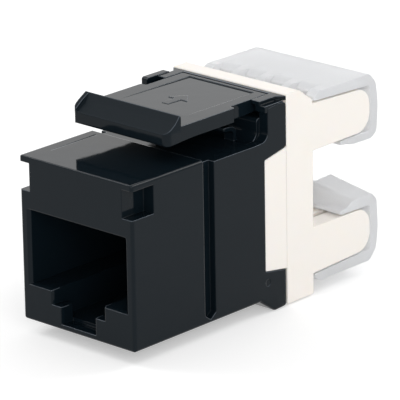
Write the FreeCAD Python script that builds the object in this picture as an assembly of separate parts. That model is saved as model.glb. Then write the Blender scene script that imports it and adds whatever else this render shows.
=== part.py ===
import FreeCAD, Part

import math
import os

# Keystone jack: a snap-in RJ45 socket with two insulation-displacement rows at its rear.
# Millimetres. The origin is the middle of the front face's lower edge, X is across the jack,
# Y runs from the front face to the rear, and Z is up. Every size below can be set by itself.

V = FreeCAD.Vector

# ---- Front housing: outer form ----
width = 14.5              # the standard snap-in module's width
plate_top = 16.3          # height of the front plate over the lower edge
plate_length = 9.62       # front plate, from the front face back to the side groove
roof_step = 0.45          # the roof behind the plate lies this much lower
housing_length = 21.25    # front face to the rear rim
edge_round = 0.3          # front vertical edges
lip_thick = 0.6           # front plate's edge over the corner notches
notch_width = 1.3         # corner notches beside the plate's front
notch_depth = 2.9
notch_height = 2.8
line_width = 0.16         # fine sink line in the plate beside its left edge, at its rear end
line_depth = 0.12
line_start = 2.8
line_end = 8.9

# Side grooves, one in each side wall, just behind the plate
groove_width = 1.5
groove_depth = 0.7
groove_floor = 0.9
groove_run_out = 0.55     # the groove's pointed lower end

# Fixed hook under the rear
hook_length = 3.75        # from where it starts to the rear rim
hook_drop = 1.42
hook_run = 2.1            # length of its ramp
hook_tip_round = 0.7

# ---- Plug port ----
side_wall = 1.1           # housing wall beside the port
brow = 5.15               # height of the front wall over the port
shoulder_top = 3.7        # height of the two shoulders under the plug
step_width = 6.7          # upper part of the latch notch
step_floor = 2.25
slot_width = 4.35         # lower part of the latch notch
slot_floor = 0.55
lead_in = 0.3             # bevel round the opening
port_corner_round = 0.25
front_wall = 1.5          # thickness of the wall that the notch is cut through
brow_thick = 3.1          # thickness of the front wall over the port
latch_well_length = 9.0   # free space for the plug's latch behind the front wall
well_floor = 0.85
chamber_roof = 0.8        # roof over the chamber for carrier, board and block
cavity_floor = 1.3

# ---- Latch arm ----
arm_gap = 2.07            # free height between the plate and the arm
arm_thick = 1.4
arm_side_gap = 1.2        # the arm's side lies this far inside the housing's
arm_corner_round = 0.7    # plan corners of the bar, right
arm_corner_left = 0.5     # and left
root_length = 5.15        # narrow root between the ears, ahead of the hinge
root_gap = 0.15           # root to the webs beside it
hinge_inset = 0.7         # hinge line to the rear rim
hinge_round = 0.6         # the root's rounded end
hinge_gap = 0.05
ridge_front = 6.07
ridge_length = 1.95
ridge_rise = 1.1          # height of the ridge over the deck
ridge_nose = 0.42         # the front face ends this much below the deck
ridge_chin = 0.22         # and starts this much below the arm's underside
ridge_hollow = 0.16       # the slope above it is hollowed this much for the fingertip
cheek_width = 0.45        # raised end of the slope, on the left
cheek_rise = 0.3
panel_width = 8.3         # shallow panel in the deck
panel_depth = 0.1         # at its rear end; it runs out to nothing at its front end
panel_gap = 2.6           # ridge to the panel's front end
panel_inset = 0.3         # hinge line to the panel's rear end
arrow_length = 3.2        # plain arrow that points to the upper side
arrow_width = 2.4
arrow_stem = 0.8
arrow_relief = 0.12
arrow_place = 3.3         # arrow's middle, behind the panel's front end

# ---- Rear of the housing: ears, rear wall and crossbar ----
bar_over_deck = 0.02      # crossbar's upper face over the arm's deck
ear_length = 2.57         # from the ear's front face to the rear rim
ear_drop = 0.64            # ear's top below the crossbar's
ear_rise = 0.15           # the ear's top rises this much towards the rear
ear_thick = 1.1
ear_foot_round = 0.85
web_thick = 0.6           # joins each ear to the rear wall beside the arm's root
finger_reach = 1.88       # left finger, ahead of the ears
finger_length = 1.37      # and behind their front
finger_over_bar = 0.1
finger_thick = 0.7
finger_height = 1.0
bar_reach = 0.38          # the crossbar's ends lie this far ahead of the ears
bar_plate = 0.4           # thickness of the crossbar's ends
bar_end_inset = 0.7       # the ends stop short of the sides, and come out to a point at the rear
bar_point = 0.75
post_length = 2.2         # low posts on the ears, outside the crossbar's ends
post_width = 1.3
post_rise = 0.25
post_inset = 0.06
stop_place = 4.0          # two curved stops under the arm, from the middle
stop_width = 1.2
stop_front = 5.15         # ahead of the hinge line
stop_length = 1.55
stop_gap = 0.95           # stop to the arm at rest
shelf_gap = 0.57          # rear wall's shelf below the arm's root
gate_round = 0.35         # mark of the gate on the right side
gate_depth = 0.05
gate_y = 2.7              # ahead of the rear rim
gate_z = 1.75
cutout_length = 3.07      # side cut-outs for the block's tabs
cutout_low = 2.9
cutout_low_rear = 2.4
cutout_drop = 1.7         # upper edge of the cut-out below the roof
cutout_drop_rear = 1.05

# ---- Insulation-displacement block ----
block_gap = 0.05          # rear rim to the block's front face
block_length = 3.8
block_low = -1.2
block_over_bar = 0.11
ledge_length = 1.85       # the block's flat top
slope_drop = 1.4          # the slope behind it falls this far
row_drop = 1.75           # block's top to the upper row's outer face
row_rise = 2.05           # block's lower edge to the lower row's outer face
row_thick = 4.8           # height of a row at its root
row_taper_in = 0.12       # the row's inner and outer faces close in towards its end
row_taper_out = 0.4
row_length = 8.4
row_end_round = 1.8
wires_per_row = 4
wire_margin = 2.3         # block's side to the outer wires
wire_slot = 0.7
wire_slot_inset = 2.1     # slots start this far behind the block
wire_mouth = 1.7          # slot's width at its mouth
wire_mouth_length = 1.3
tab_gap = 0.06            # tab to its cut-out
tab_inset = 0.05
skirt_gap = 0.08
pocket_depth = 1.3
tail_room = 0.17          # the contacts' tails to that pocket's sides
pocket_rise = 1.4         # pocket for the contacts' tails, above the chamber's floor

# ---- Clear wire caps ----
cap_stand_off = 0.3       # cap to the block's rear face
cap_gap = 0.15            # row to cap, all round
cap_wall = 0.8
cap_rear_wall = 1.2
cap_bevel_y = 1.3
cap_bevel_z = 1.0
cap_short_side = 3.5      # the inner wall starts this much further back
cap_bead = 0.35
cap_bead_length = 1.6
cap_arch = 1.15           # the inner wall has a wedge-shaped grip on one half
cap_grip_start = 2.0
cap_grip_length = 4.2
cap_grip_inset = 0.35     # the grip ends this far ahead of the cap's rear
cap_bay_width = 1.1
cap_bay_depth = 0.9
cap_rib = 0.35
cap_rib_reach = 0.8
cap_rib_height = 1.4

# ---- Circuit board, carrier and contacts ----
board_thick = 1.2
board_inset = 1.15        # board's rear face to the housing's rear rim
board_gap = 0.15
carrier_length = 5.62     # carrier's block behind the port
carrier_gap = 0.08
tongue_gap = 0.1          # tongue over the contacts, behind the front wall
tongue_rise = 0.15        # its underside over the port's roof
contact_count = 8
contact_pitch = 1.02
contact_wide = 0.45
contact_thick = 0.3
contact_rise = 1.6        # straight run, over the port's roof
contact_bend_y = 1.7      # front bend, behind the tongue's tip
contact_bend = 0.6
contact_tip_drop = 3.0    # free end below the tongue
contact_tip_y = 1.0       # free end ahead of the carrier's block
pin_drop = 0.85           # upper row of pins, below the straight run
pin_stagger = 1.6         # lower row of pins, below the upper
comb_gap = 0.1            # contact to its comb slot
blade_wide = 2.2
blade_thick = 0.5
blade_fork = 0.4
blade_fork_length = 3.4
blade_inset = 1.9         # blade's tip ahead of the row's end
blade_clear = 0.06
tail_wide = 0.7
tail_jog = 2.55           # the tail's bend towards the board's middle
tail_start = 0.7          # its rear face, behind the block's front
pin_out = 0.35            # how far pins stand out of the board
hole_gap = 0.1            # pin to its hole

# ---- Places that follow from the sizes ----
half = width / 2
port_half = half - side_wall
roof = plate_top - roof_step
port_roof = plate_top - brow
cavity_top = roof - chamber_roof
under = plate_top + arm_gap
deck_top = under + arm_thick
bar_top = deck_top + bar_over_deck
ear_top = bar_top - ear_drop
hinge_y = housing_length - hinge_inset
hinge_z = deck_top - hinge_round
root_start = hinge_y - root_length
root_half = half - ear_thick - web_thick - root_gap
arm_half = half - arm_side_gap
ridge_back = ridge_front + ridge_length
panel_start = ridge_back + panel_gap
ear_front = housing_length - ear_length
bar_front = ear_front - bar_reach
post_rear = ear_front + post_length
finger_rear = ear_front + finger_length
cutout_front = housing_length - cutout_length
block_front = housing_length + block_gap
block_rear = block_front + block_length
block_top = bar_top + block_over_bar
row_out = block_top - row_drop
row_in = row_out - row_thick
row_end = block_rear + row_length
row_middle = (row_in + row_out) / 2
mid_height = (row_out + block_low + row_rise) / 2
wire_pitch = (width - 2 * wire_margin) / (wires_per_row - 1)
blade_root = block_front + pocket_depth
blade_tip = row_end - blade_inset
cap_front = block_rear + cap_stand_off
cap_inner_front = cap_front + cap_short_side
board_rear = housing_length - board_inset
board_front = board_rear - board_thick
carrier_rear = board_front - carrier_gap
carrier_front = carrier_rear - carrier_length
tongue_front = brow_thick + tongue_gap
tongue_under = port_roof + tongue_rise
contact_run = port_roof + contact_rise


# ---- Helpers ----
def box(x0, x1, y0, y1, z0, z1):
    return Part.makeBox(x1 - x0, y1 - y0, z1 - z0, V(x0, y0, z0))


def outline(corners, to_3d, closed=True):
    """A wire through (a, b, radius) corners, with a tangent arc at each corner that has a radius.
    Where two arcs would meet on a short side, both shrink to fit it."""
    count = len(corners)
    points = [V(a, b, 0) for a, b, r in corners]
    sides = [points[(i + 1) % count] - points[i] for i in range(count)]
    turns = [(sides[i - 1] * -1).getAngle(sides[i]) for i in range(count)]
    rounded = [corners[i][2] > 0 and (closed or 0 < i < count - 1) for i in range(count)]
    reach = [corners[i][2] / math.tan(turns[i] / 2) if rounded[i] else 0 for i in range(count)]
    for i in range(count):
        after = (i + 1) % count
        room = sides[i].Length
        if reach[i] + reach[after] > room:
            share = 0.98 * room / (reach[i] + reach[after])
            reach[i] *= share
            reach[after] *= share
    stops = []
    for i in range(count):
        here = points[i]
        if not rounded[i]:
            stops.append((here, None, here))
            continue
        before = (sides[i - 1] * -1).normalize()
        after = V(sides[i]).normalize()
        radius = reach[i] * math.tan(turns[i] / 2)
        inward = (before + after).normalize()
        centre = here + inward * (radius / math.sin(turns[i] / 2))
        stops.append((here + before * reach[i], centre - inward * radius, here + after * reach[i]))
    edges = []
    for i in range(count):
        start, mid, end = stops[i]
        if mid is not None:
            edges.append(Part.Arc(to_3d(start), to_3d(mid), to_3d(end)).toShape())
        if i == count - 1 and not closed:
            break
        next_start = stops[(i + 1) % count][0]
        if (next_start - end).Length > 1e-6:
            edges.append(Part.LineSegment(to_3d(end), to_3d(next_start)).toShape())
    return Part.Wire(edges)


def side_prism(corners, x0, x1):
    """A profile in (y, z, radius), extruded from x0 to x1."""
    wire = outline(corners, lambda p: V(x0, p.x, p.y))
    return Part.Face(wire).extrude(V(x1 - x0, 0, 0))


def plan_prism(corners, z0, z1):
    """A profile in (x, y, radius), extruded from z0 to z1."""
    wire = outline(corners, lambda p: V(p.x, p.y, z0))
    return Part.Face(wire).extrude(V(0, 0, z1 - z0))


def front_prism(corners, y0, y1):
    """A profile in (x, z, radius), extruded from y0 to y1."""
    wire = outline(corners, lambda p: V(p.x, y0, p.y))
    return Part.Face(wire).extrude(V(0, y1 - y0, 0))


def both_sides(shape):
    return [shape, shape.mirror(V(0, 0, 0), V(1, 0, 0))]


def lower_row(shape):
    return shape.mirror(V(0, 0, mid_height), V(0, 0, 1))


def turned_over(shape):
    """The same moulding on the lower row, turned half round about the jack's length."""
    turned = shape.copy()
    turned.rotate(V(0, 0, mid_height), V(0, 1, 0), 180)
    return turned


def wire_places():
    first = -(wires_per_row - 1) / 2 * wire_pitch
    return [first + i * wire_pitch for i in range(wires_per_row)]


def contact_places():
    first = -(contact_count - 1) / 2 * contact_pitch
    return [first + i * contact_pitch for i in range(contact_count)]


# ---- Front housing ----
def port_outline(grow):
    """The opening's outline in (x, z): a plug's body over a stepped latch notch."""
    w = port_half + grow
    s = step_width / 2 + grow / 2
    n = slot_width / 2 + grow / 3
    shoulder = shoulder_top - grow / 3
    return [
        (-w, shoulder, 0), (-s, shoulder, 0), (-s, step_floor, 0), (-n, step_floor, 0),
        (-n, slot_floor, 0), (n, slot_floor, 0), (n, step_floor, 0), (s, step_floor, 0),
        (s, shoulder, 0), (w, shoulder, 0),
        (w, port_roof, port_corner_round), (-w, port_roof, port_corner_round),
    ]


def housing_shell():
    body = side_prism([
        (0, 0, 0.25), (housing_length - hook_length, 0, 0.2),
        (housing_length - hook_length + hook_run, -hook_drop, hook_tip_round),
        (housing_length, -hook_drop + 0.1, 0.35), (housing_length, roof, 0),
        (plate_length, roof, 0), (plate_length, plate_top, 0), (0, plate_top, 0.12),
    ], -half, half)
    upright = [e for e in body.Edges if e.BoundBox.YMax < 0.01 and e.BoundBox.XLength < 0.01]
    tall = [e for e in upright if e.BoundBox.ZLength > plate_top / 2]
    return body.makeFillet(edge_round, tall)


def ear(x0, x1):
    """An upright cheek at the rear, with a rounded foot where it meets the roof."""
    base = roof - chamber_roof - 0.2
    foot = ear_front - 2 * ear_foot_round - 0.3
    return side_prism([
        (foot, base, 0), (foot, roof, 0), (ear_front, roof + 0.1, ear_foot_round),
        (ear_front, ear_top, 0.35), (housing_length, ear_top + ear_rise, 0.45),
        (housing_length, base, 0),
    ], x0, x1)


def left_finger():
    """A finger that reaches forward from the left ear beside the latch arm's root."""
    top = bar_top + finger_over_bar
    low = top - finger_height
    inside = ear_front + 0.2
    return side_prism([
        (ear_front - finger_reach, low, 0.2), (ear_front - finger_reach, top, 0.25),
        (finger_rear, top, 0.3), (finger_rear, ear_top - 0.5, 0), (inside, ear_top - 0.5, 0),
        (inside, low, 0),
    ], -half, -half + finger_thick)


def rear_wall():
    """The wall between the ears, with the crossbar and the seat for the arm's rounded root."""
    inner = half - ear_thick + 0.01
    shelf = deck_top - 2 * hinge_round - shelf_gap
    low = roof - chamber_roof
    foot = bar_front - 1.1
    wall = side_prism([
        (foot, low, 0), (foot, roof, 0), (bar_front, roof, 0.9), (bar_front, shelf, 0.4),
        (hinge_y, shelf, 0), (hinge_y, bar_top, 0.06), (housing_length, bar_top, 0.12),
        (housing_length, low, 0),
    ], -inner, inner)
    beside_root = root_half + root_gap
    seat = Part.makeCylinder(hinge_round + hinge_gap, 2 * beside_root,
                             V(-beside_root, hinge_y, hinge_z), V(1, 0, 0))
    seat = seat.common(box(-half, half, bar_front, housing_length, roof, bar_top + 1))
    wall = wall.cut(seat)
    side = half - bar_end_inset
    ends = plan_prism([
        (-side, bar_front, 0), (side, bar_front, 0), (side, housing_length - bar_point, 0),
        (half, housing_length, 0), (-half, housing_length, 0),
        (-side, housing_length - bar_point, 0),
    ], bar_top - bar_plate, bar_top)
    ends = ends.cut(box(-beside_root, beside_root, 0, hinge_y, 0, bar_top + 1)).cut(seat)
    post = side_prism([
        (bar_front + post_inset, ear_top - 0.4, 0), (bar_front + post_inset, ear_top + post_rise, 0.12),
        (post_rear, ear_top + post_rise, 0.1), (post_rear, ear_top - 0.4, 0),
    ], half - post_width, half - 0.04)
    posts = both_sides(post)
    webs = both_sides(box(beside_root, inner, hinge_y, housing_length, shelf, bar_top))
    return wall.multiFuse([ends] + posts + webs)


def arm_stops():
    """Two small curved brackets on the roof that stop the arm when it is pressed too far."""
    front = hinge_y - stop_front
    rear = front + stop_length
    top = under - stop_gap
    foot = roof - chamber_roof / 2
    stop = side_prism([
        (front, top - 0.35, 0.1), (front, top, 0.15), (rear + 0.25, top - 0.1, 0.9),
        (rear + 0.35, foot, 0), (rear - 0.15, foot, 0), (rear - 0.1, top - 0.5, 0.6),
    ], stop_place - stop_width / 2, stop_place + stop_width / 2)
    return both_sides(stop)


def make_front_housing():
    body = housing_shell()
    ears = both_sides(ear(half - ear_thick, half))
    body = body.multiFuse(ears + arm_stops() + [left_finger(), rear_wall()]).removeSplitter()

    cuts = [front_prism(port_outline(0), -1, front_wall)]
    wide = outline(port_outline(lead_in), lambda p: V(p.x, 0, p.y))
    narrow = outline(port_outline(0), lambda p: V(p.x, lead_in, p.y))
    wide_out = outline(port_outline(lead_in), lambda p: V(p.x, -0.5, p.y))
    cuts.append(Part.makeLoft([wide, narrow], True, True))
    cuts.append(Part.makeLoft([wide_out, wide], True, True))
    # port behind the front wall, latch well, and the chamber for carrier, board and block
    well_end = front_wall + latch_well_length
    cuts.append(box(-port_half, port_half, front_wall - 0.1, carrier_front, shoulder_top, port_roof))
    cuts.append(box(-step_width / 2, step_width / 2, front_wall, well_end,
                    well_floor, shoulder_top + 0.1))
    cuts.append(box(-port_half, port_half, brow_thick, carrier_front, shoulder_top, cavity_top))
    cuts.append(box(-port_half, port_half, carrier_front, housing_length + 1,
                    cavity_floor, cavity_top))
    # corner notches under the plate's edge, and a sink line in the plate that widens to the rear
    lip = plate_top - lip_thick
    notch_side = half - notch_width
    cuts += both_sides(box(notch_side, half + 1, -1, notch_depth, lip - notch_height, lip))
    cuts.append(plan_prism([
        (line_width - notch_side, line_start, 0), (line_width - notch_side, line_end, 0),
        (-notch_side, line_end, 0),
    ], plate_top - line_depth, plate_top + 1))
    cuts.append(Part.makeCylinder(gate_round, 1, V(half - gate_depth, housing_length - gate_y, gate_z),
                                  V(1, 0, 0)))
    # side grooves, pointed at the bottom
    groove_end = plate_length + groove_width
    cuts += both_sides(side_prism([
        (plate_length, groove_floor, 0),
        (plate_length + groove_width / 2, groove_floor - groove_run_out, 0),
        (groove_end, groove_floor, 0), (groove_end, plate_top + 1, 0),
        (plate_length, plate_top + 1, 0),
    ], half - groove_depth, half + 1))
    # cut-outs for the block's tabs
    cuts += both_sides(side_prism([
        (cutout_front, cutout_low, 0.15), (housing_length + 1, cutout_low_rear - 0.15, 0),
        (housing_length + 1, roof - cutout_drop_rear + 0.2, 0),
        (cutout_front, roof - cutout_drop, 0.15),
    ], port_half - 0.5, half + 1))
    return body.cut(Part.makeCompound(cuts))


# ---- Latch arm ----
def arrow():
    middle = panel_start + arrow_place
    tip = middle + arrow_length / 2
    neck = tip - arrow_length * 0.45
    tail = middle - arrow_length / 2
    base = deck_top - panel_depth
    return plan_prism([
        (0, tip, 0), (arrow_width / 2, neck, 0), (arrow_stem / 2, neck, 0),
        (arrow_stem / 2, tail, 0), (-arrow_stem / 2, tail, 0), (-arrow_stem / 2, neck, 0),
        (-arrow_width / 2, neck, 0),
    ], base - 0.05, base + arrow_relief)


def make_latch_arm():
    """A bar with a catching ridge across its front end and a narrow, rounded root at its rear."""
    nose = deck_top - ridge_nose
    ridge_top = deck_top + ridge_rise
    rise = ridge_top - nose
    profile = [
        (ridge_front, under - ridge_chin, 0.2), (ridge_front, nose, 0.1),
        (ridge_front + ridge_length * 0.6, nose + rise * 0.6 - ridge_hollow, 1.6),
        (ridge_back - 0.08, ridge_top, 0.05), (ridge_back, ridge_top - 0.3, 0),
        (ridge_back, deck_top, 0.1), (hinge_y, deck_top, 0),
        (hinge_y + hinge_round, hinge_z, 0), (hinge_y, deck_top - 2 * hinge_round, 0),
        (root_start + 1.2, under, 0), (ridge_back + 1.5, under, 0),
    ]
    body = side_prism(profile, -arm_half, arm_half)
    end = Part.makeCylinder(hinge_round, 2 * arm_half, V(-arm_half, hinge_y, hinge_z), V(1, 0, 0))
    cheek = side_prism([
        (ridge_front, nose - 0.3, 0), (ridge_front, nose + cheek_rise, 0.15),
        (ridge_front + ridge_length * 0.42, nose + cheek_rise + rise * 0.4, 1.6),
        (ridge_back - 0.08, ridge_top, 0.05), (ridge_back - 0.05, nose - 0.3, 0),
    ], -arm_half, cheek_width - arm_half)
    body = body.multiFuse([end, cheek]).removeSplitter()
    a = arm_half
    r = root_half
    plan = plan_prism([
        (-a, ridge_front - 0.01, arm_corner_left), (a, ridge_front - 0.01, arm_corner_round),
        (a, root_start, 0.2), (r, root_start + 0.1, 0.2), (r, housing_length, 0),
        (-r, housing_length, 0), (-r, root_start + 0.1, 0.2), (-a, root_start, 0.2),
    ], 0, ridge_top + 1)
    body = body.common(plan)
    panel_end = hinge_y - panel_inset
    panel = side_prism([
        (panel_start, deck_top, 0), (panel_start, deck_top + 1, 0), (panel_end, deck_top + 1, 0),
        (panel_end, deck_top - panel_depth, 0),
    ], -panel_width / 2, panel_width / 2)
    body = body.cut(panel)
    return body.fuse(arrow())


# ---- Insulation-displacement block ----
def row_bar():
    """The upper row: a bar with a rounded end, later slotted."""
    return side_prism([
        (block_rear - 1, row_in, 0), (row_end, row_in + row_taper_in, row_end_round),
        (row_end, row_out - row_taper_out, row_end_round), (block_rear - 1, row_out, 0),
    ], -half, half)


def row_cuts():
    """Wire slots with a flared mouth, and pockets for the forked contacts."""
    cuts = []
    low = row_in - 0.5
    high = row_out + 0.5
    for x in wire_places():
        s = wire_slot / 2
        m = wire_mouth / 2
        b = blade_wide / 2 + blade_clear
        t = blade_thick / 2 + blade_clear
        cuts.append(box(x - s, x + s, block_rear + wire_slot_inset, row_end + 1, low, high))
        cuts.append(plan_prism([
            (x - s, row_end - wire_mouth_length, 0), (x + s, row_end - wire_mouth_length, 0),
            (x + m, row_end + 0.1, 0), (x - m, row_end + 0.1, 0),
        ], low, high))
        cuts.append(box(x - b, x + b, blade_root - 0.1, blade_tip + blade_clear,
                        row_middle - t, row_middle + t))
    return cuts


def make_idc_block():
    core = side_prism([
        (block_front, block_low, 0.1), (block_rear, block_low, 0.2),
        (block_rear, block_top - slope_drop, 0), (block_front + ledge_length, block_top, 0.2),
        (block_front, block_top, 0.1),
    ], -half, half)
    upper = row_bar()
    tabs = both_sides(side_prism([
        (cutout_front + tab_gap, cutout_low + tab_gap, 0.15),
        (block_front + 0.2, cutout_low_rear + tab_gap, 0),
        (block_front + 0.2, roof - cutout_drop_rear - tab_gap, 0),
        (cutout_front + tab_gap, roof - cutout_drop - tab_gap, 0.15),
    ], port_half + tab_gap, half - tab_inset))
    outer = port_half - skirt_gap
    skirt = box(-outer, outer, board_rear + board_gap / 3, block_front + 0.2,
                cavity_floor + skirt_gap, cavity_top - skirt_gap)
    body = core.multiFuse([upper, lower_row(upper), skirt] + tabs).removeSplitter()
    pocket_low = cavity_floor + pocket_rise
    pocket = wire_places()[-1] + tail_wide / 2 + tail_room
    cuts = [box(-pocket, pocket, 0, blade_root, pocket_low, 2 * mid_height - pocket_low)]
    slots = row_cuts()
    cuts += slots
    cuts += [lower_row(s) for s in slots]
    return body.cut(Part.makeCompound(cuts))


# ---- Wire caps ----
def make_cap():
    """The upper cap: a clear hood over one row, open at both ends."""
    out = row_out + cap_gap
    inn = row_in - cap_gap
    rear_in = row_end + cap_gap
    rear_out = rear_in + cap_rear_wall
    top = out + cap_wall
    low = inn - cap_wall
    bead_end = cap_inner_front + cap_bead_length
    hood = side_prism([
        (cap_front, out, 0), (cap_front, top - 0.15, 0.1), (cap_front + 0.4, top, 0),
        (rear_out - cap_bevel_y, top, 0.3), (rear_out - 0.25, top - cap_bevel_z, 0.5),
        (rear_out, (top + low) / 2, 3.0), (rear_out - 0.3, low + 0.5, 0.3),
        (rear_out - 0.9, low, 0.3), (bead_end, low, 0.3),
        (cap_inner_front + cap_bead_length * 0.6, low - cap_bead, 0.3),
        (cap_inner_front, low - cap_bead, 0.3), (cap_inner_front, inn, 0.2),
        (rear_in, inn, 1.4), (rear_in, out, 1.4),
    ], -half, half)
    cuts = []
    for x in wire_places():
        cuts.append(box(x - cap_bay_width / 2, x + cap_bay_width / 2, cap_front - 1,
                        cap_front + cap_bay_depth, out - 1, top + 1))
    hood = hood.cut(Part.makeCompound(cuts))
    # a grip on one half of the inner wall, highest beside the middle
    edge = half - 0.05
    grip_end = rear_out - cap_grip_inset
    ribs = [front_prism([
        (-cap_grip_start, low + 0.2, 0), (-cap_grip_start, low - cap_arch, 0.2),
        (-half * 0.66, low - cap_arch * 0.78, 3.0), (-edge, low - 0.25, 0), (-edge, low + 0.2, 0),
    ], grip_end - cap_grip_length, grip_end)]
    for x in wire_places():
        ribs.append(box(x - cap_rib / 2, x + cap_rib / 2, rear_in - cap_rib_reach, rear_in + 0.2,
                        row_middle - cap_rib_height / 2, row_middle + cap_rib_height / 2))
    return hood.multiFuse(ribs).removeSplitter()


# ---- Board, carrier and contacts ----
def pin_height(i):
    """The contacts' pins stand in two staggered rows on the board."""
    return contact_run - (pin_drop if i % 2 == 0 else pin_drop + pin_stagger)


def tail_heights():
    """Heights of the insulation-displacement contacts' pins on the board."""
    upper = row_middle - tail_jog
    return [upper, 2 * mid_height - upper]


def make_circuit_board():
    edge = port_half - board_gap
    board = box(-edge, edge, board_front, board_rear,
                cavity_floor + board_gap, cavity_top - board_gap)
    holes = [(x, pin_height(i), contact_wide, contact_thick)
             for i, x in enumerate(contact_places())]
    holes += [(x, z, tail_wide, blade_thick) for x in wire_places() for z in tail_heights()]
    cuts = []
    for x, z, wide, thick in holes:
        w = wide / 2 + hole_gap
        t = thick / 2 + hole_gap
        cuts.append(box(x - w, x + w, board_front - 1, board_rear + 1, z - t, z + t))
    return board.cut(Part.makeCompound(cuts))


def make_jack_contact(i):
    """A wire from its pin on the board, forward over the port, round its bend and back down."""
    x = contact_places()[i]
    rear = board_rear + pin_out
    z = pin_height(i)
    bend_y = tongue_front + contact_bend_y
    tip_y = carrier_front - contact_tip_y
    tip_z = tongue_under - contact_tip_drop
    path = outline([
        (rear, z, 0), (carrier_front + 3.6, z, 0.5), (carrier_front + 2.4, contact_run, 0.5),
        (bend_y - contact_bend, contact_run, contact_bend),
        (bend_y - contact_bend * 1.2, contact_run - 2 * contact_bend - 0.1, contact_bend * 0.9),
        (tip_y - 0.9, tip_z + 0.15, 0.8), (tip_y, tip_z + 0.1, 0),
    ], lambda p: V(x, p.x, p.y), closed=False)
    w = contact_wide / 2
    t = contact_thick / 2
    corners = [V(x - w, rear, z - t), V(x + w, rear, z - t), V(x + w, rear, z + t),
               V(x - w, rear, z + t)]
    section = Part.Wire(Part.makePolygon(corners + corners[:1]))
    return path.makePipeShell([section], True, False)


def make_contact_carrier():
    """The block behind the port, with a comb of slots for the contacts and a tongue over them."""
    edge = port_half - carrier_gap
    low = cavity_floor + carrier_gap
    top = cavity_top - carrier_gap
    body = side_prism([
        (tongue_front, tongue_under, 0.3), (carrier_front, tongue_under, 0),
        (carrier_front, low, 0), (carrier_rear, low, 0), (carrier_rear, top, 0),
        (tongue_front, top, 0.3),
    ], -edge, edge)
    cuts = []
    s = contact_wide / 2 + comb_gap
    above = contact_thick / 2 + 0.12
    for i, x in enumerate(contact_places()):
        pin = pin_height(i)
        cuts.append(box(x - s, x + s, tongue_front - 1, carrier_front + 2.9,
                        tongue_under - 1, contact_run + above))
        cuts.append(box(x - s, x + s, carrier_front - 1, carrier_front + 0.8,
                        tongue_under - contact_tip_drop - 0.8, tongue_under + 0.1))
        cuts.append(box(x - s, x + s, carrier_front + 1, carrier_front + 4.2,
                        pin - above, contact_run + above))
        cuts.append(box(x - s, x + s, carrier_front + 4, carrier_rear + 1,
                        pin - above, pin + above))
    w = tail_wide / 2 + 0.15
    t = blade_thick / 2 + 0.15
    for x in wire_places():
        for z in tail_heights():
            cuts.append(box(x - w, x + w, carrier_rear - pin_out - 0.2, carrier_rear + 1,
                            z - t, z + t))
    return body.cut(Part.makeCompound(cuts))


def make_idc_contact(x):
    """Upper-row contact: a forked blade with a tail bent down to the board."""
    z = row_middle
    t = blade_thick / 2
    w = blade_wide / 2
    f = blade_fork / 2
    blade = plan_prism([
        (x - w, blade_root, 0), (x + w, blade_root, 0), (x + w, blade_tip - 0.4, 0),
        (x + w - 0.35, blade_tip, 0), (x + f + 0.25, blade_tip, 0), (x + f, blade_tip - 0.7, 0),
        (x + f, blade_tip - blade_fork_length, 0), (x - f, blade_tip - blade_fork_length, 0),
        (x - f, blade_tip - 0.7, 0), (x - f - 0.25, blade_tip, 0), (x - w + 0.35, blade_tip, 0),
        (x - w, blade_tip - 0.4, 0),
    ], z - t, z + t)
    pin_end = board_front - pin_out
    pin_z = z - tail_jog
    rear = block_front + tail_start
    tail = side_prism([
        (pin_end, pin_z - t, 0), (rear, pin_z - t, 0.4), (rear, z - t, 0),
        (blade_root + 0.3, z - t, 0), (blade_root + 0.3, z + t, 0), (rear - 2 * t, z + t, 0.4),
        (rear - 2 * t, pin_z + t, 0.1), (pin_end, pin_z + t, 0),
    ], x - tail_wide / 2, x + tail_wide / 2)
    return blade.fuse(tail).removeSplitter()


# ---- All nodes ----
def make_nodes():
    cap = make_cap()
    nodes = {
        "front_housing": make_front_housing(),
        "latch_arm": make_latch_arm(),
        "idc_block": make_idc_block(),
        "circuit_board": make_circuit_board(),
        "contact_carrier": make_contact_carrier(),
        "wire_cap_top": cap,
        "wire_cap_bottom": turned_over(cap),
    }
    for i in range(contact_count):
        nodes[f"jack_contact_{i + 1}"] = make_jack_contact(i)
    for i, x in enumerate(wire_places()):
        blade = make_idc_contact(x)
        nodes[f"idc_contact_top_{i + 1}"] = blade
        nodes[f"idc_contact_bottom_{i + 1}"] = lower_row(blade)
    return nodes


os.makedirs("parts", exist_ok=True)
for name, shape in make_nodes().items():
    solids = shape.Solids
    piece = solids[0] if len(solids) == 1 else Part.makeCompound(solids)
    print(f"{name}: {len(solids)} solid(s), {piece.Volume:.1f} mm3, valid {piece.isValid()}")
    piece.exportStep(f"parts/{name}.step")
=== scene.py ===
# %% [markdown]
# # Dressing a keystone jack
# A keystone jack is a small network socket that snaps into a wall plate. Its black front housing is
# injection moulded ABS, its rear block is warm white polycarbonate that holds eight forked blades, and
# two clear caps press the wires into them. The pieces arrive from the frame at their true size and
# place. This lesson gives each one its finish, makes finer skins for the clear caps, and lights it all.

# %% Load the frame
import math

import bpy
import numpy as np
from mathutils import Matrix, Vector


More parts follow.
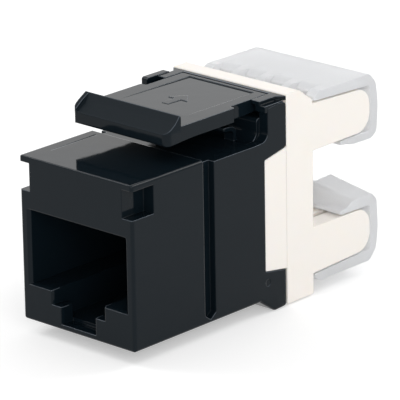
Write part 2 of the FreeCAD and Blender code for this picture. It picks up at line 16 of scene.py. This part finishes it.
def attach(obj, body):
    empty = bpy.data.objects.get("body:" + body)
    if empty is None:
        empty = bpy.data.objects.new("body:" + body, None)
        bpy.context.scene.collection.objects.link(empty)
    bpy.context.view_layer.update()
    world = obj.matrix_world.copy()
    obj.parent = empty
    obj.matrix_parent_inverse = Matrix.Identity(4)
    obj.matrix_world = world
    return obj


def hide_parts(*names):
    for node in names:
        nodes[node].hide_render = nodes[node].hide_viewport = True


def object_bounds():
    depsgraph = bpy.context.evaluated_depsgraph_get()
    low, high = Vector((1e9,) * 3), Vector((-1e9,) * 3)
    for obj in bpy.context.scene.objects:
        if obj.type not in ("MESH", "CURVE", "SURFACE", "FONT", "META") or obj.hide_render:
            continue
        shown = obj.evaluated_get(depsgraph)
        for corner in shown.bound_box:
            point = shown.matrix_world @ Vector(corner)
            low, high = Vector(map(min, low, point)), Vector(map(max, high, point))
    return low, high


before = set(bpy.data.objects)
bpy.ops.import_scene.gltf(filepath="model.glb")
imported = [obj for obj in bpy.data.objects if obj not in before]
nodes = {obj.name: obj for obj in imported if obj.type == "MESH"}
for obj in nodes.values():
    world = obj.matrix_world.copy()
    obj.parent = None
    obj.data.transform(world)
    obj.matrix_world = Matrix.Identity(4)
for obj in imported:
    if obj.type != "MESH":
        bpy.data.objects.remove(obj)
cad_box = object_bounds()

MM = 0.001                         # one millimetre in the scene's metres
scene = bpy.context.scene
print("nodes:", len(nodes), "box in mm:", [[round(v / MM, 2) for v in corner] for corner in cad_box])

# %% [markdown]
# ## Helpers
# A colour is given as an sRGB hex value, but a renderer adds light in linear values, so one
# function turns it. A second small function adds any shader node with its settings and links. Nodes
# could be dragged together by hand instead, but then nothing would say why a value is what it is.

# %% Colour and node helpers
def linear(code):
    """Linear RGBA of an sRGB hex value: the low part is a straight line, the rest a 2.4 power."""
    parts = [int(code[i:i + 2], 16) / 255 for i in (1, 3, 5)]
    turned = [c / 12.92 if c <= 0.04045 else ((c + 0.055) / 1.055) ** 2.4 for c in parts]
    return (*turned, 1.0)


def add_node(tree, kind, settings=None, links=None):
    """Adds one node. A setting is a property or an input's value; a link joins an input to an output."""
    node = tree.nodes.new(kind)
    for name, value in (settings or {}).items():
        if isinstance(name, str) and hasattr(node, name):
            setattr(node, name, value)
        else:
            node.inputs[name].default_value = value
    for name, output in (links or {}).items():
        tree.links.new(output, node.inputs[name])
    return node


def new_material(name):
    """A material with an empty node tree and its output node."""
    material = bpy.data.materials.new(name)
    material.use_nodes = True
    tree = material.node_tree
    tree.nodes.clear()
    return material, tree, tree.nodes.new("ShaderNodeOutputMaterial")


def dress(names, material):
    """Puts the material into the slots of the named nodes' objects."""
    for name in names:
        mesh = nodes[name].data
        mesh.materials.clear()
        mesh.materials.append(material)
    print(material.name, "on", len(names), "piece(s)")


# %% [markdown]
# ## Black ABS
# The housing and its latch arm are ABS with carbon black, moulded against a polished steel tool. The
# eye sees almost no body colour: all that shows is the reflection, crisp and dark when faced and grey
# at a glancing angle. A Principled surface with a nearly black base does that. What keeps it from
# looking like a computer's black are the small marks of making and use: edges that the tool rounds
# off, a very slight waviness where the plastic shrank, and a roughness that drifts a little.
#
# Three marks need to know where they are. Outer edges that face up are rubbed pale, but not inside
# the port, where nothing rubs. The slope that a fingertip presses is spark-eroded, so it is matt. The
# arm is also matt underneath, because nobody polishes the tool's core. An image could paint such
# marks, but it would need an unwrapped surface. Masks worked out from place and normal need none.

# %% Masks for black mouldings
def upward_edges(tree, edges):
    """0 on flat faces and in corners, 1 on outer edges that face up. Rays sent into the plastic meet
    another face within 0.12 mm only beside an outer edge, and the z part of the rounded normal keeps
    the edges that look up."""
    inward = add_node(tree, "ShaderNodeAmbientOcclusion",
                      {"samples": 8, "inside": True, "only_local": True, "Distance": 0.12 * MM})
    edge = add_node(tree, "ShaderNodeMapRange", {"From Min": 0.9, "From Max": 0.5},
                    {"Value": inward.outputs["AO"]})
    split = add_node(tree, "ShaderNodeSeparateXYZ", {}, {"Vector": edges.outputs["Normal"]})
    upward = add_node(tree, "ShaderNodeMapRange", {"From Min": 0.15, "From Max": 0.55},
                      {"Value": split.outputs["Z"]})
    return add_node(tree, "ShaderNodeMath", {"operation": "MULTIPLY"},
                    {0: edge.outputs["Result"], 1: upward.outputs["Result"]}).outputs["Value"]


def inside_box(tree, place, low, high):
    """1 inside a box given in mm, else 0: the distance from the box's middle is divided by its half
    size, and the largest of the three shares has to be under 1."""
    middle = [(a + b) / 2 * MM for a, b in zip(low, high)]
    reach = [(b - a) / 2 * MM for a, b in zip(low, high)]
    away = add_node(tree, "ShaderNodeVectorMath", {"operation": "SUBTRACT", 1: middle},
                    {0: place.outputs["Object"]})
    size = add_node(tree, "ShaderNodeVectorMath", {"operation": "ABSOLUTE"}, {0: away.outputs["Vector"]})
    share = add_node(tree, "ShaderNodeVectorMath", {"operation": "DIVIDE", 1: reach},
                     {0: size.outputs["Vector"]})
    split = add_node(tree, "ShaderNodeSeparateXYZ", {}, {"Vector": share.outputs["Vector"]})
    flat = add_node(tree, "ShaderNodeMath", {"operation": "MAXIMUM"},
                    {0: split.outputs["X"], 1: split.outputs["Y"]})
    most = add_node(tree, "ShaderNodeMath", {"operation": "MAXIMUM"},
                    {0: flat.outputs["Value"], 1: split.outputs["Z"]})
    return add_node(tree, "ShaderNodeMath", {"operation": "LESS_THAN", 1: 1.0},
                    {0: most.outputs["Value"]}).outputs["Value"]


def facing_down(tree):
    """1 on faces that look down by more than 30 degrees, so with a normal whose z is under -0.5."""
    geometry = add_node(tree, "ShaderNodeNewGeometry")
    split = add_node(tree, "ShaderNodeSeparateXYZ", {}, {"Vector": geometry.outputs["True Normal"]})
    return add_node(tree, "ShaderNodeMath", {"operation": "LESS_THAN", 1: -0.5},
                    {0: split.outputs["Z"]}).outputs["Value"]


# %% Black moulded plastic
TOOL_RADIUS = 0.14 * MM            # what a sharp edge of the tool leaves on the plastic
SHRINK_WAVE = 1.6 * MM             # length of the waves that shrinking leaves
POLISH_GRAIN = 0.12 * MM           # twice the real grain of the tool's polish, so that it shows
ERODED = 0.6                       # roughness that a spark-eroded tool leaves


def black_moulding(name, base, edge_tint, roughness, textured=None, sheltered=None):
    """Black plastic, moulded. Its roughness drifts from 0.7 to 1.4 times the given one. Textured is a
    box in mm where the tool was left spark-eroded, so the plastic is matt there and underneath.
    Sheltered is a box in mm whose edges no hand or plug has rubbed."""
    material, tree, out = new_material(name)
    place = add_node(tree, "ShaderNodeTexCoord")
    waves = add_node(tree, "ShaderNodeTexNoise", {"Scale": 1 / SHRINK_WAVE, "Detail": 1.0},
                     {"Vector": place.outputs["Object"]})
    grain = add_node(tree, "ShaderNodeTexNoise", {"Scale": 1 / POLISH_GRAIN, "Detail": 2.0},
                     {"Vector": place.outputs["Object"]})
    drift = add_node(tree, "ShaderNodeMapRange", {"To Min": roughness * 0.7, "To Max": roughness * 1.4},
                     {"Value": waves.outputs["Fac"]})
    edges = add_node(tree, "ShaderNodeBevel", {"samples": 8, "Radius": TOOL_RADIUS})
    wavy = add_node(tree, "ShaderNodeBump", {"Strength": 0.3, "Distance": 0.02 * MM},
                    {"Height": waves.outputs["Fac"], "Normal": edges.outputs["Normal"]})
    fine = add_node(tree, "ShaderNodeBump", {"Strength": 0.3, "Distance": 0.002 * MM},
                    {"Height": grain.outputs["Fac"], "Normal": wavy.outputs["Normal"]})
    rough = drift.outputs["Result"]
    if textured:
        matt = add_node(tree, "ShaderNodeMath", {"operation": "MAXIMUM"},
                        {0: inside_box(tree, place, *textured), 1: facing_down(tree)})
        rough = add_node(tree, "ShaderNodeMix", {"data_type": "FLOAT", 3: ERODED},
                         {0: matt.outputs["Value"], 2: rough}).outputs[0]
    rubbed = upward_edges(tree, edges)
    if sheltered:
        rubbed = add_node(tree, "ShaderNodeMath", {"operation": "SUBTRACT", "use_clamp": True},
                          {0: rubbed, 1: inside_box(tree, place, *sheltered)}).outputs["Value"]
    tint = add_node(tree, "ShaderNodeMix",
                    {"data_type": "RGBA", "A": linear(base), "B": linear(edge_tint)},
                    {"Factor": rubbed})
    surface = add_node(tree, "ShaderNodeBsdfPrincipled", {"IOR": 1.5, "Specular IOR Level": 0.12},
                       {"Base Color": tint.outputs["Result"], "Roughness": rough,
                        "Normal": fine.outputs["Normal"]})
    tree.links.new(surface.outputs["BSDF"], out.inputs["Surface"])
    return material


# %% Black pieces
BLACK_ABS, RUBBED_ABS = "#0e171d", "#646c75"
GLOSS = 0.06
# lowest and highest corner in mm: x across, y to the rear, z up
GRIP = ((-6.0, 6.0, 19.3), (6.1, 8.0, 21.0))      # the slope across the arm's front end
PORT = ((-6.4, 1.0, 0.2), (6.4, 13.5, 11.4))      # the port behind its front rim
dress(["front_housing"],
      black_moulding("black_abs_gloss_moulded", BLACK_ABS, RUBBED_ABS, GLOSS, sheltered=PORT))
dress(["latch_arm"],
      black_moulding("black_abs_with_eroded_grip", BLACK_ABS, RUBBED_ABS, GLOSS, textured=GRIP))
# the carrier is PBT, which comes out matt, so its painted edge highlight is barely paler than its base
dress(["contact_carrier"],
      black_moulding("black_pbt_matt_moulded", "#0d0d0e", "#17181a", 0.42))

# %% [markdown]
# ## Warm white polycarbonate
# The rear block is filled polycarbonate. Light goes a fraction of a millimetre into it before it
# comes back, which softens its edges and warms the shade between the rows. A little subsurface
# scattering does that, with a satin roughness and rounded edges.

# %% White moulded polycarbonate
def white_polycarbonate():
    """Polycarbonate with white filler, satin-moulded: its tint drifts over 5 mm, its grain is 0.15 mm
    wide and drawn coarse enough to show, and red light travels furthest inside it, up to 0.3 mm."""
    material, tree, out = new_material("white_polycarbonate_satin_moulded")
    place = add_node(tree, "ShaderNodeTexCoord")
    cloud = add_node(tree, "ShaderNodeTexNoise", {"Scale": 1 / (5 * MM), "Detail": 2.0},
                     {"Vector": place.outputs["Object"]})
    grain = add_node(tree, "ShaderNodeTexNoise", {"Scale": 1 / (0.15 * MM), "Detail": 2.0},
                     {"Vector": place.outputs["Object"]})
    tint = add_node(tree, "ShaderNodeMix",
                    {"data_type": "RGBA", "A": linear("#f7f1ea"), "B": linear("#faf4ee")},
                    {"Factor": cloud.outputs["Fac"]})
    edges = add_node(tree, "ShaderNodeBevel", {"samples": 6, "Radius": 0.12 * MM})
    fine = add_node(tree, "ShaderNodeBump", {"Strength": 0.4, "Distance": 0.004 * MM},
                    {"Height": grain.outputs["Fac"], "Normal": edges.outputs["Normal"]})
    surface = add_node(tree, "ShaderNodeBsdfPrincipled",
                       {"Roughness": 0.42, "IOR": 1.58, "Subsurface Weight": 0.25,
                        "Subsurface Radius": (1.0, 0.8, 0.6), "Subsurface Scale": 0.3 * MM},
                       {"Base Color": tint.outputs["Result"], "Normal": fine.outputs["Normal"]})
    tree.links.new(surface.outputs["BSDF"], out.inputs["Surface"])
    return material


dress(["idc_block"], white_polycarbonate())

# %% [markdown]
# ## Clear polycarbonate
# The caps are clear polycarbonate. Real clear mouldings aren't window glass: the tool's polish leaves
# a soft haze, so what is behind them shows, but blurred. Full transmission would look like glass and
# be noisy to render. A surface that passes a little under half of the light and scatters the rest,
# with a refraction index of 1.58 and a very faint cool tint, gives the milky look of a used tool.

# %% Clear moulded polycarbonate
def clear_polycarbonate():
    """Polycarbonate, clear, with the haze of a worn tool, which comes and goes over 3 mm."""
    material, tree, out = new_material("clear_polycarbonate_moulded")
    place = add_node(tree, "ShaderNodeTexCoord")
    haze = add_node(tree, "ShaderNodeTexNoise", {"Scale": 1 / (3 * MM), "Detail": 3.0},
                    {"Vector": place.outputs["Object"]})
    worn = add_node(tree, "ShaderNodeMapRange", {"To Min": 0.36, "To Max": 0.46},
                    {"Value": haze.outputs["Fac"]})
    wavy = add_node(tree, "ShaderNodeBump", {"Strength": 0.5, "Distance": 0.03 * MM},
                    {"Height": haze.outputs["Fac"]})
    surface = add_node(tree, "ShaderNodeBsdfPrincipled",
                       {"Base Color": linear("#f8f9fb"), "IOR": 1.58, "Transmission Weight": 0.46},
                       {"Roughness": worn.outputs["Result"], "Normal": wavy.outputs["Normal"]})
    tree.links.new(surface.outputs["BSDF"], out.inputs["Surface"])
    return material


clear_cap = clear_polycarbonate()
dress(["wire_cap_top", "wire_cap_bottom"], clear_cap)

# %% [markdown]
# ## Shape of the wire caps
# A cap is a C-shaped wall that slides over a row. Its outer wall has teeth that reach between the
# wires, its inner wall thins to a rounded nose, and one half of the inner wall swells into a wedge
# for the fingers. A cube with bevels could give the C, but not the nose, the teeth and the wedge in
# one clean skin. So the wall's outline is a closed loop of corners whose places depend on where it is
# across the jack: numpy works the loop out at every station at once, and the stations are joined like
# the ribs of a boat.

# %% Rounded loops and their skin
SHARP_ANGLE = math.radians(40)     # an edge that turns more than this shows as an edge


def rounded_loops(corners, reach, steps=6):
    """Turns sharp loops into smooth ones. corners is stations x corners x 2, and reach says how far
    from each corner its rounding starts. The rounding is a parabola from the point before the corner
    to the point after it: (1-t)^2 times the first, 2t(1-t) times the corner and t^2 times the last,
    for t from 0 to 1."""
    before = np.roll(corners, 1, axis=1) - corners
    after = np.roll(corners, -1, axis=1) - corners
    start = corners + before / np.linalg.norm(before, axis=2, keepdims=True) * reach[:, None]
    end = corners + after / np.linalg.norm(after, axis=2, keepdims=True) * reach[:, None]
    t = np.linspace(0, 1, steps)[:, None]
    curve = ((1 - t) ** 2 * start[:, :, None] + 2 * t * (1 - t) * corners[:, :, None]
             + t ** 2 * end[:, :, None])
    return curve.reshape(len(corners), -1, 2)


def shrunk(loops, inset):
    """Moves each point of a loop to its inner side by its station's inset: the inner side is the chord
    through its two neighbours, turned a quarter round."""
    chord = np.roll(loops, -1, axis=1) - np.roll(loops, 1, axis=1)
    chord /= np.linalg.norm(chord, axis=2, keepdims=True)
    inward = np.stack([chord[..., 1], -chord[..., 0]], axis=2)
    return loops + inward * inset[:, None, None]


def skin(name, stations, loops):
    """A closed piece through the (y, z) loops at the stations along x, with a flat face at each end.
    Point p of loop s is number s * around + p, and each square joins p and its neighbour to the same
    two of the next loop."""
    count, around = loops.shape[:2]
    points = np.concatenate([np.repeat(stations, around)[:, None], loops.reshape(-1, 2)], axis=1) * MM
    station, point = np.meshgrid(np.arange(count - 1), np.arange(around), indexing="ij")
    here = station * around + point
    beside = station * around + (point + 1) % around
    squares = np.stack([here, here + around, beside + around, beside], axis=2).reshape(-1, 4)
    first = np.arange(around)
    last = first[::-1] + (count - 1) * around
    faces = squares.tolist() + [first.tolist(), last.tolist()]
    mesh = bpy.data.meshes.new(name)
    mesh.from_pydata(points.tolist(), [], faces)
    mesh.polygons.foreach_set("use_smooth", np.ones(len(faces), dtype=bool))
    mesh.set_sharp_from_angle(angle=SHARP_ANGLE)
    mesh.update()
    piece = bpy.data.objects.new(name, mesh)
    scene.collection.objects.link(piece)
    print(name, count, "stations,", len(mesh.vertices), "points")
    return piece


# %% [markdown]
# ## Stations across a cap
# A grid only shows what its lines pass through. Evenly spaced stations would have to be hundreds to
# catch a tooth's side. So they follow the form: close together on the sides of the teeth, on the side
# of the wedge and round the open ends, and far apart between them.

# %% Cap stations
def extent(name):
    """Lowest and highest corner of a node, in mm."""
    flat = np.empty(len(nodes[name].data.vertices) * 3)
    nodes[name].data.vertices.foreach_get("co", flat)
    points = flat.reshape(-1, 3) / MM
    return points.min(axis=0), points.max(axis=0)


def eased(share):
    """A soft step from 0 to 1: 3 times the square less 2 times the cube, held at its ends."""
    share = np.clip(share, 0, 1)
    return share ** 2 * (3 - 2 * share)


HALF = extent("wire_cap_top")[1][0]               # half the cap's width, mm
MID_HEIGHT = (extent("wire_cap_top")[1][2] + extent("wire_cap_bottom")[0][2]) / 2
WIRE_PITCH = 3.3
WIRES = (np.arange(4) - 1.5) * WIRE_PITCH         # the wires' places across the jack
BAY_HALF, TOOTH_SIDE = 1.0, 0.22                  # half a bay's flat, and its slope up to the tooth
WEDGE_START, WEDGE_SIDE = 1.92, 0.18              # from the middle to the wedge, and its side's slope
RIM = 0.09                                        # rounding of the open ends

bay_stations = BAY_HALF + np.array([-1.0, -0.5, 0.0, 0.08, 0.14, 0.22, 0.3])
wedge_stations = WEDGE_START + np.array([-0.02, 0.06, 0.14, 0.2])
rim_stations = HALF - RIM * (1 - np.sin(np.radians([0.0, 22.9, 46.2, 69.0, 90.0])))
x = np.unique(np.concatenate([(WIRES[:, None] + bay_stations).ravel(),
                              (WIRES[:, None] - bay_stations).ravel(),
                              rim_stations, -rim_stations, -wedge_stations]).round(6))
print("cap half width", round(float(HALF), 3), "mid height", round(float(MID_HEIGHT), 3), "mm,",
      len(x), "stations")

# %% [markdown]
# ## Outline of the caps
# The outline runs once round the C: over the outer wall, down the rear, under the inner wall to its
# nose, and back along the inside. Only three things change with the station: how far forward the
# outer wall reaches, how deep the wedge hangs, and how far the skin is pulled in to round the ends.
# The lower cap is the same moulding turned half round, so it is made from the same loops.

# %% Cap outline
TOOTH_FRONT, BAY_DEPTH = 25.35, 1.15              # the teeth's tips, and how far back the bays lie
WEDGE_DEPTH, WEDGE_FALL = 1.2, 0.175              # depth beside the middle, and its loss per mm
# y and z of each corner and the reach of its rounding; the first four count y from the front edge
OUTLINE = np.array([
    (0.0, 18.27, 0.16), (0.0, 18.72, 0.2), (0.8, 19.17, 0.4), (2.2, 19.1, 0.5),     # front lip
    (33.5, 19.1, 0.35), (34.5, 18.1, 0.5), (34.85, 16.0, 1.2), (34.62, 13.0, 0.4),  # rear wall
    (33.8, 12.45, 0.35), (31.0, 12.5, 0.5), (29.9, 12.8, 0.3),                      # inner wall
    (29.15, 12.86, 0.17), (29.15, 13.27, 0.17),                                     # nose
    (33.65, 13.36, 0.6), (33.65, 17.9, 0.6)])                                       # the row's side
FRONT_LIP = slice(0, 4)
WEDGE_SHARES = {7: 0.25, 8: 1.0, 9: 0.95}         # how much of the wedge's depth a corner takes

from_wire = np.abs(x[:, None] - WIRES).min(axis=1)
front = TOOTH_FRONT + BAY_DEPTH * eased(1 - (from_wire - BAY_HALF) / TOOTH_SIDE)
wedge = eased((-WEDGE_START - x) / WEDGE_SIDE) * (WEDGE_DEPTH - WEDGE_FALL * (-x - 2))
past_rim = np.clip((np.abs(x) - (HALF - RIM)) / RIM, 0, 1)
inset = RIM * (1 - np.sqrt(1 - past_rim ** 2))    # a quarter circle

loops = np.repeat(OUTLINE[None, :, :2], len(x), axis=0)
loops[:, FRONT_LIP, 0] += front[:, None]
for corner, share in WEDGE_SHARES.items():
    loops[:, corner, 1] -= wedge * share
loops = shrunk(rounded_loops(loops, OUTLINE[:, 2]), inset)

turned_loops = loops[::-1, ::-1] * (1, -1) + (0, 2 * MID_HEIGHT)
for place, stations, outline in (("cap_top", x, loops), ("cap_bottom", -x[::-1], turned_loops)):
    cap = skin("clear_" + place, stations, outline)
    cap.data.materials.append(clear_cap)
    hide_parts("wire_" + place)
    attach(cap, place)

# %% [markdown]
# ## Metals and the board
# The eight port wires are phosphor bronze with a gold flash, the blades are tinned, and the board is
# green solder mask over glass laminate. A metal's colour is its reflection, so it goes in the base
# colour with metallic at 1. A smooth metal would mirror like chrome; a fine bump breaks it up as
# drawing and stamping do. The board is lacquer, so it stays non-metallic over a faint weave.

# %% Contact metals and circuit board
def plated_metal(name, base, roughness):
    """Drawn or stamped metal with a thin plating. The plating keeps the metal's fine unevenness, here
    a bump about 0.05 mm wide."""
    material, tree, out = new_material(name)
    place = add_node(tree, "ShaderNodeTexCoord")
    lines = add_node(tree, "ShaderNodeTexNoise", {"Scale": 1 / (0.05 * MM), "Detail": 1.0},
                     {"Vector": place.outputs["Object"]})
    drawn = add_node(tree, "ShaderNodeBump", {"Strength": 0.25, "Distance": 0.002 * MM},
                     {"Height": lines.outputs["Fac"]})
    surface = add_node(tree, "ShaderNodeBsdfPrincipled",
                       {"Base Color": linear(base), "Metallic": 1.0, "Roughness": roughness},
                       {"Normal": drawn.outputs["Normal"]})
    tree.links.new(surface.outputs["BSDF"], out.inputs["Surface"])
    return material


def solder_mask():
    """Green lacquer over the weave of the glass laminate. A wave texture runs through a whole turn in
    a twentieth of tau over its scale. The threads are drawn twice as far apart as real, to show."""
    material, tree, out = new_material("green_solder_mask")
    place = add_node(tree, "ShaderNodeTexCoord")
    threads_apart = 0.986 * MM
    weave = add_node(tree, "ShaderNodeTexWave",
                     {"Scale": math.tau / (20 * threads_apart), "bands_direction": "Z"},
                     {"Vector": place.outputs["Object"]})
    woven = add_node(tree, "ShaderNodeBump", {"Strength": 0.3, "Distance": 0.01 * MM},
                     {"Height": weave.outputs["Fac"]})
    surface = add_node(tree, "ShaderNodeBsdfPrincipled",
                       {"Base Color": linear("#1d5a34"), "Roughness": 0.3},
                       {"Normal": woven.outputs["Normal"]})
    tree.links.new(surface.outputs["BSDF"], out.inputs["Surface"])
    return material


dress([n for n in nodes if n.startswith("jack_contact")], plated_metal("gold_flash", "#e6c07b", 0.22))
dress([n for n in nodes if n.startswith("idc_contact")], plated_metal("bright_tin", "#cfcdc8", 0.3))
dress(["circuit_board"], solder_mask())

# %% [markdown]
# ## Surroundings
# Small products are shot in a white tent: pale in every direction, with soft lamps a little stronger.
# A dome picture could light them too, but a plain tent keeps every reflection simple. The world is
# white to the camera and in reflections, and a little lower where it lights the surfaces, so that
# lamps can add some shape.

# %% White surroundings
def white_where_seen(tree):
    """1 for camera, glossy and transmission rays, else 0."""
    path = add_node(tree, "ShaderNodeLightPath")
    straight = add_node(tree, "ShaderNodeMath", {"operation": "MAXIMUM"},
                        {0: path.outputs["Is Camera Ray"], 1: path.outputs["Is Glossy Ray"]})
    return add_node(tree, "ShaderNodeMath", {"operation": "MAXIMUM"},
                    {0: straight.outputs["Value"],
                     1: path.outputs["Is Transmission Ray"]}).outputs["Value"]


TENT_LIGHT, TENT_SEEN = 0.62, 1.0  # how strongly the tent lights surfaces, and how white it looks
world = bpy.data.worlds.new("white_tent")
scene.world = world
world.use_nodes = True
tree = world.node_tree
tree.nodes.clear()
strength = add_node(tree, "ShaderNodeMapRange", {"To Min": TENT_LIGHT, "To Max": TENT_SEEN},
                    {"Value": white_where_seen(tree)})
sky = add_node(tree, "ShaderNodeBackground", {"Color": (1, 1, 1, 1)},
               {"Strength": strength.outputs["Result"]})
tree.links.new(sky.outputs["Background"], add_node(tree, "ShaderNodeOutputWorld").inputs["Surface"])
print("tent lights at", TENT_LIGHT, "and shows at", TENT_SEEN)

# %% [markdown]
# ## Paper floor
# The jack stands on the hook under its housing, on a sheet of matt white paper at that height. Lit
# paper alone comes out grey beside a white tent, so where it is seen it glows a little too, and paper
# and tent meet at the same white. A glow of 1 would do that by itself, but would drown the jack's
# shadow, and without a shadow the jack floats.

# %% Paper floor
FLOOR_HALF = 1.5                   # m, wide enough to run out of every view
PAPER_GLOW = 0.38
floor_z = cad_box[0].z
floor_corners = [(x_side * FLOOR_HALF, y_side * FLOOR_HALF, floor_z)
                 for x_side, y_side in ((-1, -1), (1, -1), (1, 1), (-1, 1))]
floor_mesh = bpy.data.meshes.new("floor")
floor_mesh.from_pydata(floor_corners, [], [(0, 1, 2, 3)])
floor = bpy.data.objects.new("floor", floor_mesh)
scene.collection.objects.link(floor)
floor_paper, tree, out = new_material("matt_white_paper")
paper = add_node(tree, "ShaderNodeBsdfDiffuse", {"Color": (0.8, 0.8, 0.8, 1)})
share = add_node(tree, "ShaderNodeMath", {"operation": "MULTIPLY", 1: PAPER_GLOW},
                 {0: white_where_seen(tree)})
glow = add_node(tree, "ShaderNodeEmission", {"Color": (1, 1, 1, 1)},
                {"Strength": share.outputs["Value"]})
lit = add_node(tree, "ShaderNodeAddShader", {}, {0: paper.outputs["BSDF"], 1: glow.outputs["Emission"]})
tree.links.new(lit.outputs["Shader"], out.inputs["Surface"])
floor_mesh.materials.append(floor_paper)
print("floor at", round(floor_z / MM, 2), "mm")

# %% [markdown]
# ## Soft lamps
# On black gloss a lamp is seen rather than felt: each one is placed where a face or an edge mirrors
# it to the camera. Two small strong ones draw the edges that face up, a large weak one greys the flat
# tops, and one beside the camera fills the shade. A single big lamp would light the whites as well,
# but would leave the black edges without a line.

# %% Soft lamps
LAMP_DISTANCE = 0.35               # m from the middle of the jack
middle = (cad_box[0] + cad_box[1]) / 2


def soft_lamp(name, direction, size, radiance):
    """A square lamp facing the jack. Its power is radiance times its area times pi."""
    data = bpy.data.lights.new(name, "AREA")
    data.size = size
    data.energy = radiance * math.pi * size ** 2
    lamp = bpy.data.objects.new(name, data)
    away = Vector(direction).normalized()
    lamp.location = middle + away * LAMP_DISTANCE
    lamp.rotation_mode = "QUATERNION"
    lamp.rotation_quaternion = (-away).to_track_quat("-Z", "Y")
    scene.collection.objects.link(lamp)
    print(name, round(data.energy, 3), "W")


soft_lamp("top_back_strip", (0.32, 0.69, 0.64), 0.11, 6.0)          # mirrored by edges along y
soft_lamp("top_left_strip", (-0.64, -0.32, 0.69), 0.11, 6.0)        # mirrored by edges along x
soft_lamp("low_back_sheet", (-0.64, 0.69, 0.40), 0.24, 0.45)        # mirrored by the flat tops
soft_lamp("fill_by_the_camera", (0.85, -0.65, 0.35), 0.2, 3.5)

# %% [markdown]
# ## Camera
# A long lens from a little over a third of a metre keeps the parallel edges nearly parallel, as in
# catalogue pictures. A short lens from close by would swell the near corner, and a view without any
# perspective would look like a drawing. The camera looks down on the jack from its front right.

# %% Camera
AZIMUTH = math.radians(42.89)      # round to the right from straight in front
ELEVATION = math.radians(18.93)    # above the jack
ROLL = math.radians(-0.96)         # the camera's tilt about its own line of sight
LENS, SENSOR = 343.06, 36          # mm
CAMERA_AT = Vector((235.045, -236.087, 127.378)) * MM
forward = Vector((-math.sin(AZIMUTH) * math.cos(ELEVATION),
                  math.cos(AZIMUTH) * math.cos(ELEVATION), -math.sin(ELEVATION)))
lens = bpy.data.cameras.new("camera")
lens.lens = LENS
lens.sensor_width = SENSOR
lens.clip_start = 0.01
lens.clip_end = 10
camera = bpy.data.objects.new("camera", lens)
level = forward.to_track_quat("-Z", "Y").to_matrix()
camera.matrix_world = Matrix.Translation(CAMERA_AT) @ (level @ Matrix.Rotation(ROLL, 3, "Z")).to_4x4()
scene.collection.objects.link(camera)
scene.camera = camera
scene.view_settings.view_transform = "Standard"
print("camera", round((CAMERA_AT - middle).length, 3), "m from the jack")
